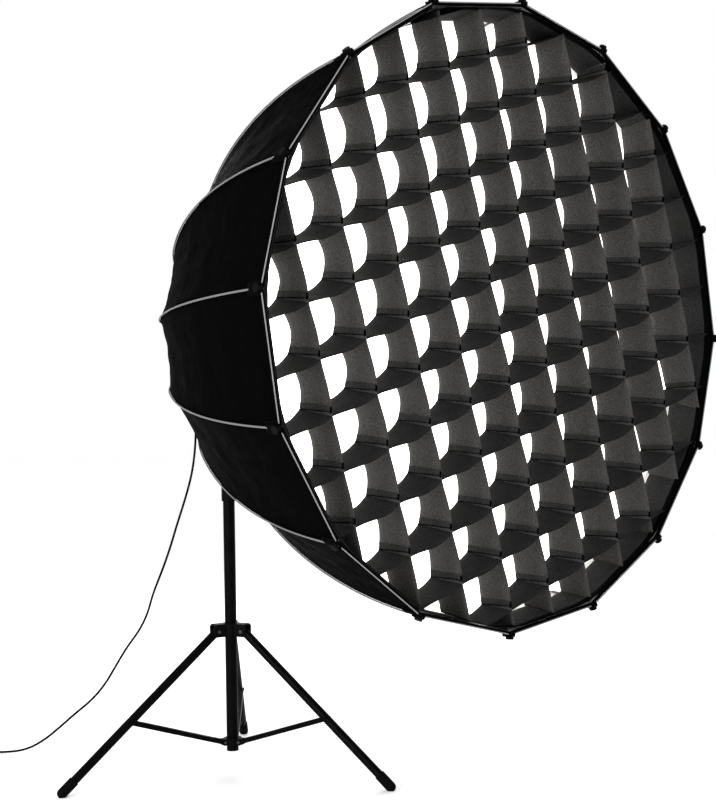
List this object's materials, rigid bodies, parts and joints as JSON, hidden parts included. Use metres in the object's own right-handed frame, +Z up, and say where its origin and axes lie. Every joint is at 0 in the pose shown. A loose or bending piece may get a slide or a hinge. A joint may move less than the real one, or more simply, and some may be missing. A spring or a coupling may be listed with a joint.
{
  "type": "parabolic softbox on light stand",
  "caption": "Deep many-sided parabolic softbox with fabric egg-crate grid, mounted on a lamp head with yoke and a folding tripod light stand.",
  "frame": {"origin": "on the floor under the column's axis", "axes": "+Z up along the column; the softbox faces -Y at rest; +X to the right of someone facing its front"},
  "size_m": [1.524, 2.137, 2.048],
  "materials": {
    "black_nylon": "woven nylon, black outside",
    "silver_piping": "reflective grey seam tape",
    "white_diffusion": "translucent white cloth",
    "grid_cloth": "dark grey speckled cloth",
    "fibreglass": "dark fibreglass",
    "plain_steel": "plain steel",
    "anodised_aluminium": "black anodised",
    "powder_coat": "satin black powder coat",
    "black_plastic": "fine textured black plastic",
    "circuit_board": "green board with dark parts",
    "switch_red": "red rocker",
    "light_source": "yellow phosphor",
    "dome_glass": "frosted clear",
    "black_rubber": "matt black rubber"
  },
  "bodies": {
    "column": {"lower_column_tube": "powder_coat", "column_end_plug": "black_plastic", "strut_hub": "black_plastic", "strut_hub_pins": "plain_steel", "lower_lock_collar": "black_plastic"},
    "lower_knob": {"lower_lock_knob": "black_plastic"},
    "leg_slider": {"leg_collar": "black_plastic", "leg_pivot_pins": "plain_steel"},
    "leg_1": {"leg_tube_1": "powder_coat", "leg_foot_1": "black_rubber"},
    "leg_2": {"leg_tube_2": "powder_coat", "leg_foot_2": "black_rubber"},
    "leg_3": {"leg_tube_3": "powder_coat", "leg_foot_3": "black_rubber"},
    "brace_1": {"strut_1": "powder_coat"},
    "brace_2": {"strut_2": "powder_coat"},
    "brace_3": {"strut_3": "powder_coat"},
    "middle_column": {"middle_column_tube": "powder_coat", "middle_tube_bush": "black_plastic", "middle_lock_collar": "black_plastic"},
    "middle_knob": {"middle_lock_knob": "black_plastic"},
    "upper_column": {"upper_column_tube": "powder_coat", "upper_tube_bush": "black_plastic", "top_spigot": "plain_steel"},
    "yoke": {"swivel_receiver": "black_plastic", "yoke_bracket": "powder_coat", "power_cord": "black_rubber", "power_cord_coil": "black_rubber", "power_cord_plug": "black_rubber"},
    "receiver_knob": {"receiver_lock_knob": "black_plastic"},
    "lamp": {"lamp_lower_housing": "black_plastic", "lamp_upper_housing": "black_plastic", "lamp_front_flange": "black_plastic", "lamp_rear_panel": "black_plastic", "heat_sink": "anodised_aluminium", "led_module": "light_source", "led_glass_dome": "dome_glass", "driver_board": "circuit_board", "tilt_pivot_bosses": "plain_steel", "power_inlet": "black_plastic", "cord_connector": "black_rubber"},
    "tilt_handle": {"tilt_lock_handle": "black_plastic"},
    "fan": {"cooling_fan": "black_plastic"},
    "dimmer": {"dimmer_dial": "black_plastic"},
    "switch": {"power_switch": "switch_red"},
    "latch": {"mount_release_latch": "black_plastic"},
    "softbox": {"speedring": "anodised_aluminium", "spring_rods": "fibreglass", "shell_fabric": "black_nylon", "seam_piping": "silver_piping", "rim_binding": "black_nylon", "rod_tip_caps": "black_plastic", "inner_baffle": "white_diffusion", "front_diffuser": "white_diffusion", "egg_crate_grid": "grid_cloth"}
  },
  "joints": [
    {"name": "leg_fold", "type": "slide", "parent": "column", "child": "leg_slider", "axis": [0, 0, 1], "range_m": [0, 0.3337]},
    {"name": "leg_1_pivot", "type": "hinge", "parent": "leg_slider", "child": "leg_1", "pos_m": [0.02879, 0.03587, 0.4208], "axis": [-0.7799, 0.6259, 0], "range_deg": [-1, 42.8]},
    {"name": "brace_1_pivot", "type": "hinge", "parent": "column", "child": "brace_1", "pos_m": [0.0194, 0.02418, 0.0923], "axis": [0.7799, -0.6259, 0], "range_deg": [-1, 61.12]},
    {"name": "leg_2_pivot", "type": "hinge", "parent": "leg_slider", "child": "leg_2", "pos_m": [-0.04546, 0.007, 0.4208], "axis": [-0.1521, -0.9884, 0], "range_deg": [-1, 42.8]},
    {"name": "brace_2_pivot", "type": "hinge", "parent": "column", "child": "brace_2", "pos_m": [-0.03064, 0.00472, 0.0923], "axis": [0.1521, 0.9884, 0], "range_deg": [-1, 61.12]},
    {"name": "leg_3_pivot", "type": "hinge", "parent": "leg_slider", "child": "leg_3", "pos_m": [0.01667, -0.04287, 0.4208], "axis": [0.932, 0.3624, 0], "range_deg": [-1, 42.8]},
    {"name": "brace_3_pivot", "type": "hinge", "parent": "column", "child": "brace_3", "pos_m": [0.01124, -0.02889, 0.0923], "axis": [-0.932, -0.3624, 0], "range_deg": [-1, 61.12]},
    {"name": "middle_extension", "type": "slide", "parent": "column", "child": "middle_column", "axis": [0, 0, 1], "range_m": [0, 0.64]},
    {"name": "upper_extension", "type": "slide", "parent": "middle_column", "child": "upper_column", "axis": [0, 0, 1], "range_m": [0, 0.64]},
    {"name": "lower_knob_turn", "type": "hinge", "parent": "column", "child": "lower_knob", "pos_m": [0, 0, 0.853], "axis": [0.6259, 0.7799, 0], "range_deg": [-540, 0]},
    {"name": "middle_knob_turn", "type": "hinge", "parent": "middle_column", "child": "middle_knob", "pos_m": [0, 0, 0.917], "axis": [0.6259, 0.7799, 0], "range_deg": [-540, 0]},
    {"name": "swivel", "type": "hinge", "parent": "upper_column", "child": "yoke", "pos_m": [0, 0, 1], "axis": [0, 0, 1], "range_deg": [-170, 170]},
    {"name": "receiver_knob_turn", "type": "hinge", "parent": "yoke", "child": "receiver_knob", "pos_m": [0, 0, 0.993], "axis": [1, 0, 0], "range_deg": [-540, 0]},
    {"name": "tilt", "type": "hinge", "parent": "yoke", "child": "lamp", "pos_m": [0, 0, 1.286], "axis": [1, 0, 0], "range_deg": [-45, 25], "deforming": ["power_cord"]},
    {"name": "tilt_handle_turn", "type": "hinge", "parent": "lamp", "child": "tilt_handle", "pos_m": [0.12, 0, 1.286], "axis": [1, 0, 0], "range_deg": [-60, 60]},
    {"name": "fan_spin", "type": "hinge", "parent": "lamp", "child": "fan", "pos_m": [0, 0.037, 1.286], "axis": [0, 1, 0], "continuous": true},
    {"name": "dimmer_turn", "type": "hinge", "parent": "lamp", "child": "dimmer", "pos_m": [-0.042, 0.15, 1.306], "axis": [0, 1, 0], "continuous": true},
    {"name": "switch_rock", "type": "hinge", "parent": "lamp", "child": "switch", "pos_m": [0.042, 0.144, 1.306], "axis": [1, 0, 0], "range_deg": [0, 14]},
    {"name": "latch_lock", "type": "slide", "parent": "lamp", "child": "latch", "axis": [0, 0, 1], "range_m": [-0.006, 0]},
    {"name": "softbox_twist", "type": "hinge", "parent": "lamp", "child": "softbox", "pos_m": [0, -0.12, 1.286], "axis": [0, 1, 0], "range_deg": [0, 30]}
  ],
  "couplings": [
    {"joint": "leg_1_pivot", "follows": "leg_fold", "rad_per_m": 2.1846},
    {"joint": "brace_1_pivot", "follows": "leg_fold", "rad_per_m": 3.1416},
    {"joint": "leg_2_pivot", "follows": "leg_fold", "rad_per_m": 2.1846},
    {"joint": "brace_2_pivot", "follows": "leg_fold", "rad_per_m": 3.1416},
    {"joint": "leg_3_pivot", "follows": "leg_fold", "rad_per_m": 2.1846},
    {"joint": "brace_3_pivot", "follows": "leg_fold", "rad_per_m": 3.1416}
  ]
}
